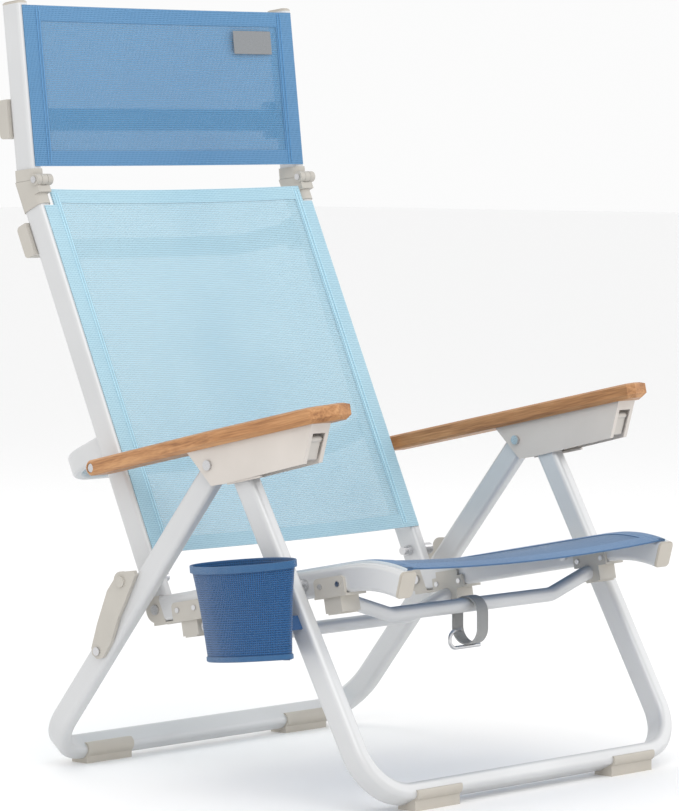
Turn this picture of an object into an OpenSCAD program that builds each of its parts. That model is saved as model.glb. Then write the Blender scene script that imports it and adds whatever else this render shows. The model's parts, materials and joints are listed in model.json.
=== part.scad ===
// Folding beach recliner: two U-shaped leg frames, a sling seat, a sling back
// with a fold-down headrest, wooden arms on hollow casings, a drink pouch.
// The chair faces -Y and its left arm is on the -X side as seen from the front.

/* [Overall] */
// Distance between the centres of the two seat rails
rail_span = 500; // [420:5:640]
// Distance between the centres of the two legs of a leg frame
leg_span = 584; // [560:2:760]
// Height of the seat-to-back pivot above the floor
seat_pivot_h = 217; // [190:1:300]
// Rise of the seat towards the front, in degrees
seat_rise = 11; // [6:0.5:16]
// Lean of the back from vertical, in degrees
back_lean = 24.4; // [16:0.2:30]
// Lean of the headrest from vertical, in degrees
headrest_lean = 6.7; // [2:0.1:12]
// Rise of the arms towards the front, in degrees
arm_rise = 12.2; // [8:0.2:15]

/* [Seat] */
// Straight length of a seat rail, from the seat pivot
rail_straight = 338; // [320:1:420]
// Radius of the bend at the front of a rail
rail_bend_r = 180; // [140:5:260]
// Angle of the bend at the front of a rail
rail_bend_a = 26; // [15:1:34]
// Width of a rail
rail_w = 28; // [26:1:34]
// Height of a rail
rail_h = 34; // [30:1:42]
// Distance from the seat pivot to the front leg pivot
front_pivot_d = 264; // [240:1:300]
// Length of the slot that the back tube folds into
rail_slot = 66; // [60:1:72]
// Distance from the seat pivot to the front cross bar
front_bar_d = 308; // [290:1:320]
// Distance from the seat pivot to the rear cross bar
rear_bar_d = 58; // [52:1:64]
// How far each cross bar drops below its ends
seat_bar_drop = 22; // [14:1:30]
// Depth of a cross bar, front to back
seat_bar_w = 18; // [14:1:24]
// Height of a cross bar
seat_bar_h = 18; // [16:1:24]

/* [Back] */
// Length of a back tube above the seat pivot
back_len = 570; // [520:5:680]
// Width of a back tube
back_w = 18; // [14:1:19]
// Depth of a back tube
back_d = 34; // [28:1:38]
// Distance from the seat pivot to the link bolt
link_up = 42; // [38:1:48]
// Distance from the seat pivot to the arm pivot
arm_up = 196; // [180:1:240]
// Height of the upper cross bar along the back
upper_bar_up = 521; // [460:1:530]
// How far the upper cross bar stands back
upper_bar_back = 36; // [20:1:60]
// Height of the lower cross bar along the back
lower_bar_up = 230; // [225:1:320]
// How far the lower cross bar stands back
lower_bar_back = 82; // [50:1:90]
// Height of the back cross bars
bar_h = 29; // [22:1:34]
// Thickness of the back cross bars
bar_t = 13; // [10:1:16]

/* [Headrest] */
// Length of a headrest tube
headrest_len = 220; // [180:5:260]
// Height of the headrest cross bar above the hinge
headrest_bar_up = 84; // [70:1:110]
// Distance from the hinge pin to the face of the tubes
hinge_out = 6; // [5:0.5:9]
// Radius of the hinge knuckles
knuckle_r = 7.5; // [6.5:0.5:8.5]

/* [Legs] */
// Width of a leg tube
leg_w = 21; // [18:0.5:23]
// Depth of a leg tube
leg_d = 32; // [28:1:34]
// Wall of the tubes
wall = 1.6; // [1.2:0.1:2.2]
// Radius of the bends of the leg frames
leg_bend_r = 62; // [50:1:90]
// Lean of the rear legs from vertical, in degrees
rear_lean = 39; // [36:0.5:42]
// Distance from the rear leg's top pivot to the link screw
link_down = 320; // [300:1:340]
// Thickness of a foot below the floor bar
foot_t = 6; // [4:0.5:10]
// Length of a foot
foot_len = 82; // [60:1:110]

/* [Arms] */
// Thickness of a wooden arm
arm_t = 20; // [16:1:26]
// Width of a wooden arm at the front
arm_w = 56; // [50:1:70]
// Width of a wooden arm at the back pivot
arm_tail_w = 33; // [28:1:44]
// Length of a wooden arm in front of the back pivot
arm_len = 437; // [420:1:470]
// Size of the cut corner at the front of an arm
arm_corner = 26; // [10:1:30]
// Height of the casing under an arm
casing_h = 47; // [44:1:56]
// Wall of the casing
casing_wall = 2.4; // [1.8:0.1:3]

/* [Fabric] */
// Thickness of the sling fabric solids
sling_t = 2; // [1.2:0.1:3]
// Distance from a sling's edge to the outer face of its tube
sling_inset = 5; // [3:0.5:8]
// Width of the drink pouch mouth
pouch_w = 174; // [120:1:180]
// Depth of the drink pouch mouth
pouch_d = 66; // [50:1:90]
// Height of the drink pouch
pouch_h = 128; // [100:1:150]

/* [Fits] */
// Radius of the main pivot bolts
bolt_r = 4; // [3:0.5:5]
// Radial clearance of a turning pivot
run_gap = 0.08; // [0.02:0.01:0.1]
// Gap between faces that move past each other
face_gap = 0.6; // [0.4:0.1:1]

/* [Hidden] */
$fn = 64;
hull_fn = 32;

pearl = [0.86, 0.86, 0.85];
plastic = [0.72, 0.70, 0.65];
ivory = [0.86, 0.84, 0.76];
wood = [0.72, 0.48, 0.26];
steel = [0.75, 0.75, 0.77];
navy = [0.22, 0.36, 0.55];
aqua = [0.60, 0.80, 0.86];
sky = [0.45, 0.65, 0.80];
webbing = [0.55, 0.55, 0.55];

// Side-view points are [y, z] from the seat pivot, which is above y = 0.
function along(lean, d) = [d * sin(lean), d * cos(lean)];
function ahead(rise, d) = [-d * cos(rise), d * sin(rise)];
function turned(p, a) = [p.x * cos(a) - p.y * sin(a), p.x * sin(a) + p.y * cos(a)];

seat_pivot = [0, seat_pivot_h];
link_pivot = seat_pivot + along(back_lean, link_up);
arm_pivot = seat_pivot + along(back_lean, arm_up);
rear_pivot_local = [-220, -31];
block_local = [-260, -49.5];
rear_pivot = arm_pivot + turned(rear_pivot_local, -arm_rise);
block_pivot = arm_pivot + turned(block_local, -arm_rise);
front_pivot = seat_pivot + ahead(seat_rise, front_pivot_d);
link_foot = rear_pivot + along(-rear_lean, -link_down);
front_lean = atan2(block_pivot.x - front_pivot.x, block_pivot.y - front_pivot.y);
hinge_back = back_d / 2 + hinge_out;
hinge_up = back_len + 17;
hinge = seat_pivot + along(back_lean, hinge_up) + turned([-hinge_back, 0], -back_lean);

// Height of a leaning floor bar's centre, so that the feet stand on the floor.
function bar_rise(lean) = foot_t + leg_r + (leg_w / 2 - leg_r) * cos(lean)
  + (leg_d / 2 - leg_r) * sin(lean);
leg_r = 7;
rear_leg_len = (rear_pivot.y - bar_rise(rear_lean)) / cos(rear_lean);
front_leg_len = (block_pivot.y - bar_rise(front_lean)) / cos(front_lean);

half_rail = rail_span / 2;
half_leg = leg_span / 2;
rail_in = half_rail - rail_w / 2;
rail_out = half_rail + rail_w / 2;
leg_in = half_leg - leg_w / 2;
leg_out = half_leg + leg_w / 2;
back_out = half_rail + back_w / 2;
back_in = half_rail - back_w / 2;
link_t = 5.5;
link_x = leg_out + face_gap;
casing_in = leg_in - casing_wall - 1.2;
casing_out = leg_out + casing_wall + 7;
arm_in = rail_out + 3;
pouch_in = link_x + link_t + 4;
bracket_w = 4;
saddle_w = 4;

// The origin is the middle of the box that holds the whole chair.
cap_t = 3;
rail_nose = [
  -rail_straight - (rail_bend_r + rail_h / 2) * sin(rail_bend_a) - cap_t * cos(rail_bend_a),
  rail_h / 2 - (rail_bend_r + rail_h / 2) * (1 - cos(rail_bend_a))
];
bumper_t = 7;
headrest_bumper_h = 51;
box_front = turned(rail_nose, -seat_rise).x;
box_back = hinge.x + along(headrest_lean, headrest_bar_up + headrest_bumper_h / 2).x
  + (hinge_back + back_d / 2 + bar_t + bumper_t) * cos(headrest_lean);
shift_y = -(box_front + box_back) / 2;
shift_x = (pouch_in + pouch_d - (arm_in + arm_w)) / 2;

module place() {
  translate([shift_x, shift_y, 0]) children();
}

// Puts a local frame at a side-view point: local +Z leans back by lean.
module side(p, lean) {
  translate([0, p.x, p.y]) rotate([-lean, 0, 0]) children();
}

module hand(s) {
  if (s < 0) mirror([1, 0, 0]) children();
  else children();
}

module both() {
  for (s = [-1, 1]) hand(s) children();
}

// A round bar along X between two X positions.
module pin(x0, x1, r) {
  translate([x0, 0, 0]) rotate([0, 90, 0]) cylinder(r = r, h = x1 - x0);
}

// A block along X between two X positions, from a side-view outline.
module slab(x0, x1) {
  translate([x0, 0, 0]) rotate([90, 0, 90]) linear_extrude(x1 - x0) children();
}

module round_rect(w, h, r) {
  square([w - 2 * r, h], center = true);
  square([w, h - 2 * r], center = true);
  for (x = [-1, 1], y = [-1, 1])
    translate([x * (w / 2 - r), y * (h / 2 - r)]) circle(r);
}

module tube_section(w, h, r, t) {
  difference() {
    round_rect(w, h, r);
    if (t > 0) round_rect(w - 2 * t, h - 2 * t, max(r - t, 0.8));
  }
}

// A bent tube is drawn piece by piece from here, heading along local +Z.
module straight(len, w, h, r, t) {
  linear_extrude(len) tube_section(w, h, r, t);
  translate([0, 0, len]) children();
}

module bend(radius, a, w, h, r, t) {
  s = a < 0 ? -1 : 1;
  hand(s) translate([-radius, 0, 0]) rotate([90, 0, 0])
    rotate_extrude(angle = abs(a)) translate([radius, 0]) tube_section(w, h, r, t);
  translate([-s * radius * (1 - cos(a)), 0, radius * sin(abs(a))])
    rotate([0, -a, 0]) children();
}

// The solid rounded end of a tube, round about the local X axis.
module round_end(x, w, d, r) {
  intersection() {
    union() {
      pin(x - w / 2, x + w / 2, d / 2);
      translate([x - w / 2, -d / 2, -d * 0.75]) cube([w, d, d * 0.75]);
    }
    translate([x, 0, -d]) linear_extrude(2 * d) round_rect(w, d, r);
  }
}

// A cross bar with ends at z = 0 and a middle that is lower by drop.
module dropped_bar(half, end, run, drop, radius, w, h, r) {
  a = atan2(drop, run);
  tangent = radius * tan(a / 2);
  slope = norm([run, drop]) - 2 * tangent;
  flat = half - end - run - tangent;
  translate([-flat, 0, -drop]) rotate([0, 90, 0]) linear_extrude(2 * flat) round_rect(h, w, r);
  both() {
    translate([flat, 0, radius - drop]) rotate([90, 0, 0]) rotate([0, 0, -90])
      rotate_extrude(angle = a) translate([radius, 0]) round_rect(h, w, r);
    translate([half - end - run, 0, -drop]) rotate([0, 90 - a, 0])
      translate([0, 0, tangent]) linear_extrude(slope) round_rect(h, w, r);
    translate([half - end + tangent, 0, -radius]) rotate([90, 0, 0]) rotate([0, 0, 90])
      rotate_extrude(angle = a) translate([radius, 0]) round_rect(h, w, r);
    translate([half - end + tangent, 0, 0]) rotate([0, 90, 0])
      linear_extrude(end - tangent) round_rect(h, w, r);
  }
}

// ---- legs ----
module leg_frame(len, bore) {
  difference() {
    union() {
      both() translate([0, 0, -len]) rotate([0, 90, 0])
        straight(half_leg - leg_bend_r, leg_w, leg_d, leg_r, wall)
        bend(leg_bend_r, 90, leg_w, leg_d, leg_r, wall)
        straight(len - leg_bend_r, leg_w, leg_d, leg_r, wall);
      both() round_end(half_leg, leg_w, leg_d, leg_r);
    }
    both() pin(leg_in - 1, leg_out + 1, bore);
  }
}

module leg_bore(d, r) {
  both() translate([0, 0, -d]) pin(leg_in - 1, leg_out + 1, r);
}

module rear_leg_frame() {
  place() color(pearl) side(rear_pivot, -rear_lean) difference() {
    leg_frame(rear_leg_len, bolt_r);
    leg_bore(link_down, link_screw_r + run_gap);
  }
}

module front_leg_frame() {
  place() color(pearl) side(block_pivot, front_lean) difference() {
    leg_frame(front_leg_len, bolt_r + run_gap);
    leg_bore(norm(block_pivot - front_pivot), bolt_r);
  }
}

// A foot grips the lower half of a leaning floor bar and stands on the floor.
module foot(s, pivot, lean, len) {
  grip = 2.6;
  c = bar_rise(abs(lean));
  p = pivot + along(lean, -len);
  x0 = half_leg - leg_bend_r - foot_len;
  place() color(ivory) hand(s) difference() {
    slab(x0, x0 + foot_len) difference() {
      union() {
        translate(p) rotate(-lean) round_rect(leg_d + 2 * grip, leg_w + 2 * grip, leg_r + grip);
        translate([p.x - 14, 0]) square([28, c]);
      }
      translate(p) rotate(-lean) round_rect(leg_d, leg_w, leg_r);
      translate([p.x - 40, c + 6]) square([80, 40]);
      translate([p.x - 40, -20]) square([80, 20]);
    }
  }
}

module rear_foot_left() { foot(-1, rear_pivot, -rear_lean, rear_leg_len); }
module rear_foot_right() { foot(1, rear_pivot, -rear_lean, rear_leg_len); }
module front_foot_left() { foot(-1, block_pivot, front_lean, front_leg_len); }
module front_foot_right() { foot(1, block_pivot, front_lean, front_leg_len); }

module rear_leg_bolts() {
  place() color(steel) side(rear_pivot, -rear_lean) both() {
    pin(casing_in - 2, casing_out + 1, bolt_r);
    pin(casing_out + 0.3, casing_out + 3.3, 6.5);
    pin(casing_in - 4.3, casing_in - 0.3, 6);
  }
}

// The screws through the rear legs that the links' lower ends turn on.
module link_screws() {
  place() color(steel) both() {
    side(link_foot, -rear_lean) {
      pin(leg_in - 4, link_x + link_t + 1.8, link_screw_r);
      pin(leg_in - 4.5, leg_in - face_gap, 6);
      pin(link_x + link_t + face_gap, link_x + link_t + 2.2, 5.5);
    }
  }
}

module front_leg_bolts() {
  place() color(steel) both() side(front_pivot, front_lean) {
    pin(rail_out + 0.3, leg_out + 1, bolt_r);
    pin(leg_out, leg_out + 2.6, 6.5);
    pin(rail_out + 0.3, leg_in, 7.5);
  }
}

// ---- drink pouch ----
module lens(w, d) {
  r = (w * w / 4 + d * d / 4) / d;
  intersection() {
    translate([r - d / 2, 0]) circle(r, $fn = 72);
    translate([d / 2 - r, 0]) circle(r, $fn = 72);
  }
}

pouch_y = front_pivot.x + 14;
pouch_z = seat_pivot_h - 40;
pouch_lean = 6;
pouch_wall = 2.4;
module pouch_frame() {
  translate([-pouch_in - pouch_d / 2, pouch_y, pouch_z]) rotate([-pouch_lean, 0, 0]) children();
}

module pouch_body(inset) {
  hull() {
    translate([0, 0, inset]) linear_extrude(1)
      lens(pouch_w * 0.8 - 2 * inset, pouch_d - 6 - 2 * inset);
    translate([0, 0, pouch_h * 0.5]) linear_extrude(1)
      lens(pouch_w * 0.9 - 2 * inset, pouch_d - 2 - 2 * inset);
    translate([0, 0, pouch_h - 3]) linear_extrude(3)
      lens(pouch_w - 2 * inset, pouch_d - 2 * inset);
  }
}

module pouch() {
  place() color(navy) pouch_frame() difference() {
    pouch_body(0);
    pouch_body(pouch_wall);
    translate([0, 0, pouch_h - 4]) linear_extrude(8)
      lens(pouch_w - 2 * pouch_wall, pouch_d - 2 * pouch_wall);
  }
}

module pouch_straps() {
  strap = 18;
  place() color(webbing) difference() {
    for (z = [48, 112]) {
      d = (block_pivot.y - pouch_z - z) / cos(front_lean);
      side(block_pivot + along(front_lean, -d), front_lean) {
        translate([-pouch_in - 12, -6, -strap / 2]) cube([pouch_in + 12 - leg_out, 3, strap]);
      }
    }
    pouch_frame() pouch_body(0);
  }
}

// ---- arms ----
module arm_plan(inset, tail) {
  x0 = arm_in + inset;
  x1 = arm_in + arm_w - inset;
  polygon([[x0, -40], [x0, -arm_len + inset + 8], [x0 + 8, -arm_len + inset],
    [x1 - arm_corner, -arm_len + inset], [x1, -arm_len + arm_corner + inset],
    [x1, -arm_len + 190], [x1 - tail, -40]]);
}

module arm(s) {
  tail = (arm_w - arm_tail_w) * 0.9;
  edge = 2.5;
  place() color(wood) hand(s) side(arm_pivot, arm_rise) difference() {
    hull() {
      pin(arm_in + edge, arm_in + arm_tail_w - edge, arm_t / 2, $fn = hull_fn);
      pin(arm_in, arm_in + arm_tail_w, arm_t / 2 - edge, $fn = hull_fn);
      translate([0, 0, -arm_t / 2 + 2 * edge]) linear_extrude(arm_t - 3 * edge) arm_plan(0, tail);
      translate([0, 0, -arm_t / 2]) linear_extrude(arm_t) arm_plan(2 * edge, tail);
    }
    pin(arm_in - 1, arm_in + arm_w, bolt_r);
    pin(arm_in + arm_tail_w - 3, arm_in + arm_w, 6);
  }
}

module arm_left() { arm(-1); }
module arm_right() { arm(1); }

module arm_bolts() {
  place() color(steel) side(arm_pivot, arm_rise) both() {
    pin(back_in - 2, arm_in + arm_tail_w - 3, bolt_r);
    pin(arm_in + arm_tail_w - 3, arm_in + arm_tail_w - 0.8, 5.6);
    pin(back_out + face_gap, arm_in, 8);
    pin(back_in - 7, back_in - face_gap, 6.5);
  }
}

casing_back = 187;
casing_front = 404;
casing_top = -arm_t / 2;
casing_low = casing_top - casing_h;
lever_z = casing_top - 17;
lever_pin_r = 2.6;
module casing_outline(t) {
  polygon([[-casing_back - t, casing_top - t], [-casing_back - 33 - t, casing_low - t],
    [-casing_back - 60 - t, casing_low - 1 - t], [-casing_front + 24 + t, casing_low + 2 - t],
    [-casing_front + t, casing_top - t]]);
}

module casing(s) {
  w = casing_wall;
  place() color(plastic) hand(s) side(arm_pivot, arm_rise) difference() {
    union() {
      difference() {
        slab(casing_in, casing_out) casing_outline(0);
        slab(casing_in + w, casing_out - w) polygon([[-casing_back + 20, casing_top - w],
          [-casing_back + 20, casing_low - 20], [-casing_front + 24 + w, casing_low - 20],
          [-casing_front + 24 + w, casing_low + 2], [-casing_front + w + 0.6, casing_top - w]]);
      }
      for (dz = [7.6, -10.1])
        translate([casing_out - w - 3, block_local.x - 44, block_local.y + dz]) cube([4, 58, 2.5]);
      translate([0, rear_pivot_local.x, rear_pivot_local.y])
        pin(leg_out + face_gap, casing_out - w + 0.5, 9);
      translate([0, rear_pivot_local.x, rear_pivot_local.y])
        pin(casing_in + w - 0.5, leg_in - face_gap, 9);
    }
    translate([0, rear_pivot_local.x, rear_pivot_local.y])
      pin(casing_in - 1, casing_out + 1, bolt_r + run_gap);
    translate([0, -casing_front + 16, lever_z])
      pin(casing_in + 0.8, casing_out - 0.8, lever_pin_r + run_gap);
    translate([casing_in + 6, -casing_front - 4, casing_low - 6])
      cube([casing_out - casing_in - 12, 34, lever_z - casing_low + 12]);
  }
}

module casing_left() { casing(-1); }
module casing_right() { casing(1); }

// A paddle behind the opening in the front of a casing.
module lever(s) {
  place() color(plastic * 0.85) hand(s) side(arm_pivot, arm_rise) {
    translate([0, -casing_front + 16, lever_z]) {
      pin(casing_in + 0.8, casing_out - 0.8, lever_pin_r);
      pin(casing_in + 8, casing_out - 8, 4);
      rotate([28, 0, 0]) translate([casing_in + 8, -2.5, -24])
        cube([casing_out - casing_in - 16, 5, 24]);
      rotate([28, 0, 0]) translate([0, 0, -24]) pin(casing_in + 8, casing_out - 8, 2.5);
    }
  }
}

module lever_left() { lever(-1); }
module lever_right() { lever(1); }

module slide_blocks() {
  place() color(ivory) both() side(arm_pivot, arm_rise)
    translate([0, block_local.x, block_local.y]) difference() {
      slab(leg_out + face_gap, casing_out - casing_wall - face_gap) round_rect(24, 14, 3);
      pin(leg_out, casing_out, bolt_r + run_gap);
    }
}

module front_leg_pins() {
  place() color(steel) both() side(block_pivot, front_lean)
    pin(leg_in - 0.4, casing_out - casing_wall - face_gap, bolt_r);
}

// ---- seat ----
rail_start = 6;
rail_r = 6;
rail_end_cut = 11;

// The frame of a rail's path: local +Z runs forward, local +X is up.
module rail_path() {
  side(seat_pivot, seat_rise) rotate([90, 0, 0]) rotate([0, 0, 90]) children();
}

// The frame at the front end of a rail.
module rail_end() {
  rail_path() translate([0, 0, rail_straight]) translate([
    -rail_bend_r * (1 - cos(rail_bend_a)), 0, rail_bend_r * sin(rail_bend_a)])
    rotate([0, -rail_bend_a, 0]) children();
}

module seat_rail(s) {
  place() color(pearl) hand(s) difference() {
    rail_path() translate([0, -half_rail, rail_start])
      straight(rail_straight - rail_start, rail_h, rail_w, rail_r, wall)
      bend(rail_bend_r, rail_bend_a, rail_h, rail_w, rail_r, wall);
    // The end is cut to the lean of the back, and its top is slotted for the tube.
    side(seat_pivot, back_lean)
      translate([rail_in - 1, -rail_end_cut, -60]) cube([rail_w + 2, 60, 120]);
    side(seat_pivot, seat_rise)
      translate([half_rail - back_w / 2 - 1.2, -rail_slot, wall - rail_h / 2])
        cube([back_w + 2.4, rail_slot, rail_h]);
    side(front_pivot, seat_rise) pin(rail_in - 1, rail_out + 1, bolt_r);
  }
}

module seat_rail_left() { seat_rail(-1); }
module seat_rail_right() { seat_rail(1); }

module rail_caps() {
  place() color(ivory) both() rail_end() translate([0, -half_rail, 0]) {
    linear_extrude(cap_t - 1) round_rect(rail_h, rail_w, rail_r);
    linear_extrude(cap_t) round_rect(rail_h - 2, rail_w - 2, rail_r - 1);
    translate([0, 0, -8]) linear_extrude(8)
      round_rect(rail_h - 2 * wall - 1, rail_w - 2 * wall - 1, rail_r - wall);
  }
}

// A fitting with two cheeks that carries the seat pivot behind a rail's end.
module seat_bracket(s) {
  lip_t = 3.2;
  lip_front = 29;
  place() color(plastic) hand(s) difference() {
    side(seat_pivot, seat_rise) {
      for (x = [rail_in, rail_out - bracket_w]) slab(x, x + bracket_w) {
        circle(rail_h / 2);
        translate([-lip_front, -rail_h / 2 - lip_t]) square([lip_front + 6, rail_h / 2 + lip_t]);
        translate([-lip_front, 0]) square([lip_front, rail_h / 2]);
      }
      slab(rail_in, rail_out) translate([-lip_front, -rail_h / 2 - lip_t])
        square([lip_front - 9, lip_t]);
    }
    // Nothing stands inside the rail or its walls.
    intersection() {
      side(seat_pivot, seat_rise) slab(rail_in - 1, rail_out + 1)
        translate([-80, -rail_h / 2]) square([100, rail_h]);
      side(seat_pivot, back_lean)
        translate([rail_in - 1, -rail_end_cut - 100, -60]) cube([rail_w + 2, 100, 120]);
    }
    side(seat_pivot, seat_rise) pin(rail_in - 1, rail_out + 1, bolt_r);
  }
}

module seat_bracket_left() { seat_bracket(-1); }
module seat_bracket_right() { seat_bracket(1); }

module seat_bolts() {
  place() color(steel) both() {
    side(seat_pivot, seat_rise) {
      pin(rail_in - 2, rail_out + 1, bolt_r);
      pin(rail_out, rail_out + 2.4, 6.5);
      pin(rail_in - 4, rail_in, 6);
    }
    side(front_pivot, seat_rise) {
      pin(rail_in - 2, rail_out, bolt_r);
      pin(rail_in - 5, rail_in, 6.5);
    }
  }
}

// ---- seat cross bars ----
bar_end = 30;
bar_run = 72;
bar_r = 8;
bar_reach = half_rail + 8;
bar_below = rail_h / 2 + seat_bar_h / 2 + 1.5;
saddle_l = 27;
module seat_bar(d) {
  side(seat_pivot + ahead(seat_rise, d), 0) translate([0, 0, -bar_below / cos(seat_rise)])
    dropped_bar(bar_reach, bar_end, bar_run, seat_bar_drop, 40, seat_bar_w, seat_bar_h, bar_r);
}

module seat_bar_front() { place() color(pearl) seat_bar(front_bar_d); }
module seat_bar_rear() { place() color(pearl) seat_bar(rear_bar_d); }

// A saddle clasps a rail from below and holds the end of a cross bar.
module saddle(s, d) {
  outer_l = 25;
  outer_h = 25;
  floor_t = 3;
  place() color(plastic) hand(s) difference() {
    side(seat_pivot + ahead(seat_rise, d), seat_rise) {
      slab(rail_out, rail_out + saddle_w) translate([-outer_l, -rail_h / 2 - floor_t]) {
        square([2 * outer_l, outer_h - 6]);
        translate([6, 0]) square([2 * outer_l - 12, outer_h]);
        translate([6, outer_h - 6]) circle(6);
        translate([2 * outer_l - 6, outer_h - 6]) circle(6);
      }
      slab(rail_in - saddle_w, rail_in) {
        translate([-saddle_l, -rail_h / 2 - floor_t]) square([2 * saddle_l, outer_h - 8]);
        translate([-outer_l + 6, -rail_h / 2 - floor_t]) square([2 * outer_l - 12, outer_h]);
      }
      slab(rail_in - saddle_w, rail_out + saddle_w) translate([-saddle_l, -rail_h / 2 - floor_t])
        square([2 * saddle_l, floor_t]);
      slab(rail_in - saddle_w, rail_out + 1) {
        translate([-14, -rail_h / 2 - seat_bar_h - 4]) square([28, seat_bar_h + 4]);
        translate([-10, -rail_h / 2 - seat_bar_h - 6]) square([20, 3]);
      }
    }
    side(seat_pivot + ahead(seat_rise, d), seat_rise) slab(rail_in, rail_out)
      translate([-40, -rail_h / 2]) square([80, rail_h]);
    side(seat_pivot + ahead(seat_rise, d), 0)
      translate([0, 0, -bar_below / cos(seat_rise)]) rotate([0, 90, 0])
      linear_extrude(bar_reach) round_rect(seat_bar_h, seat_bar_w, bar_r);
  }
}

module saddle_front_left() { saddle(-1, front_bar_d); }
module saddle_front_right() { saddle(1, front_bar_d); }
module saddle_rear_left() {
  saddle(-1, rear_bar_d);
  place() color(plastic) side(seat_pivot + ahead(seat_rise, ring_y), seat_rise)
    difference() {
      translate([-rail_out + 1, -1.5, -rail_h / 2 - 10]) cube([6, 3, 10]);
      translate([-rail_out + 4, 0, -rail_h / 2 - 5.6]) rotate([90, 0, 0])
        cylinder(h = 5, r = ring_wire + 0.4, center = true);
    }
}
module saddle_rear_right() { saddle(1, rear_bar_d); }

module saddle_screws() {
  place() color(steel) for (d = [front_bar_d, rear_bar_d]) both()
    side(seat_pivot + ahead(seat_rise, d), seat_rise) {
      for (y = [-1, 1]) translate([0, y * (saddle_l - 7), -rail_h / 2 + 6])
        pin(rail_in - saddle_w - 1.6, rail_in - saddle_w, 3.4);
      for (y = [-1, 1]) translate([0, y * 15, -rail_h / 2 + 12])
        pin(rail_out + saddle_w, rail_out + saddle_w + 1.6, 3.4);
    }
}

// ---- seat sling ----
sling_start = 72;
module on_rails(x0, x1, t, lift) {
  rail_path() translate([0, 0, sling_start]) linear_extrude(rail_straight - sling_start)
    translate([rail_h / 2 + lift, x0]) square([t, x1 - x0]);
  rail_path() translate([-rail_bend_r, 0, rail_straight]) rotate([90, 0, 0])
    rotate_extrude(angle = rail_bend_a - 0.5)
    translate([rail_bend_r + rail_h / 2 + lift, x0]) square([t, x1 - x0]);
}

piping_w = 3;
module seat_sling() {
  place() color(navy) on_rails(-half_rail, half_rail, sling_t, 0);
}

module seat_piping() {
  place() color(ivory) {
    on_rails(half_rail, half_rail + piping_w, sling_t + 0.6, 0);
    on_rails(-half_rail - piping_w, -half_rail, sling_t + 0.6, 0);
  }
}

// ---- carrying strap ----
strap_x = -3;
strap_w = 20;
loop_w = 40;
loop_h = 62;
loop_t = 1.8;
bar_low = seat_pivot + ahead(seat_rise, front_bar_d)
  - [0, bar_below / cos(seat_rise) + seat_bar_drop];
loop_top = bar_low.y + seat_bar_h / 2 + 0.7;
module stadium(w, h) {
  for (z = [w / 2, h - w / 2]) translate([0, -z]) circle(w / 2);
  translate([-w / 2, -(h - w / 2)]) square([w, h - w]);
}

module strap_loop() {
  place() color(webbing) translate([0, bar_low.x, loop_top])
    slab(strap_x - strap_w / 2, strap_x + strap_w / 2) difference() {
      translate([0, loop_t]) stadium(loop_w + 2 * loop_t, loop_h);
      stadium(loop_w, loop_h - 2 * loop_t);
    }
}

hook_z = loop_top - loop_h + loop_t;
module strap_hook() {
  r = 2.4;
  place() color(steel) translate([strap_x, bar_low.x, hook_z - r]) {
    pin(-strap_w / 2 - 18, strap_w / 2 + 8, r);
    translate([strap_w / 2 + 8, 0, 0]) sphere(r);
    translate([-strap_w / 2 - 18, 0, 11]) rotate([90, 0, 0]) rotate([0, 0, 90])
      rotate_extrude(angle = 180) translate([11, 0]) circle(r);
    translate([-strap_w / 2 - 18, 0, 22]) pin(0, 9, r);
    translate([-strap_w / 2 - 9, 0, 22]) sphere(r);
  }
}

ring_r = 8;
ring_wire = 1.4;
ring_y = rear_bar_d + 25;
module rail_ring() {
  place() color(steel)
    side(seat_pivot + ahead(seat_rise, ring_y), seat_rise)
    translate([-rail_out + 4, 0, -rail_h / 2 - 3 - 2.6 - ring_r]) {
      rotate([0, 90, 0]) rotate_extrude() translate([ring_r, 0]) circle(ring_wire);
    }
}

// ---- back ----
module in_back() {
  side(seat_pivot, back_lean) children();
}

module back_tube(s) {
  plug = 30;
  place() color(pearl) hand(s) in_back() difference() {
    union() {
      translate([half_rail, 0, plug]) straight(back_len - plug, back_w, back_d, rail_r, wall);
      intersection() {
        translate([half_rail, 0, -back_d]) linear_extrude(back_d + plug)
          round_rect(back_w, back_d, rail_r);
        union() {
          pin(back_in - 1, back_out + 1, back_d / 2);
          translate([back_in - 1, -back_d, 0]) cube([back_w + 2, 2 * back_d, plug]);
        }
      }
    }
    for (z = [0, arm_up])
      translate([0, 0, z]) pin(back_in - 1, back_out + 1, bolt_r + run_gap);
    translate([0, 0, link_up]) pin(back_in - 1, back_out + 1, bolt_r);
  }
}

module back_tube_left() { back_tube(-1); }
module back_tube_right() { back_tube(1); }

module back_bar_upper() {
  place() color(pearl) in_back()
    translate([0, back_d / 2 + bar_t / 2, upper_bar_up]) rotate([90, 0, 0])
    dropped_bar(half_rail + 6, 30, 62, upper_bar_back, 40, bar_h, bar_t, 5);
}

lower_bend_r = 48;
module back_bar_lower() {
  x = half_rail - 3;
  far = back_d / 2 + lower_bar_back + bar_t / 2;
  place() color(pearl) in_back() translate([0, far, lower_bar_up]) rotate([90, 0, 0]) both()
    rotate([0, 90, 0]) straight(x - lower_bend_r, bar_t, bar_h, 5, wall)
    bend(lower_bend_r, 90, bar_t, bar_h, 5, wall)
    straight(far - back_d / 2 - lower_bend_r, bar_t, bar_h, 5, wall);
}

// A soft stop that caps the end of a cross bar on the back of a tube.
module bumper(h) {
  x0 = half_rail - 14;
  x1 = half_rail + 13;
  difference() {
    slab(x0, x1) {
      translate([bar_t / 2 - 1, 0]) round_rect(bar_t + bumper_t * 2 - 2, h, 6);
      translate([0, -h / 2]) square([4, h]);
    }
    translate([0, -30, -h]) cube([half_rail * 2, 30, 2 * h]);
    translate([x0 - 1, -1, -bar_h / 2]) cube([half_rail + 6 - x0 + 1, bar_t + 1, bar_h]);
  }
}

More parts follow.
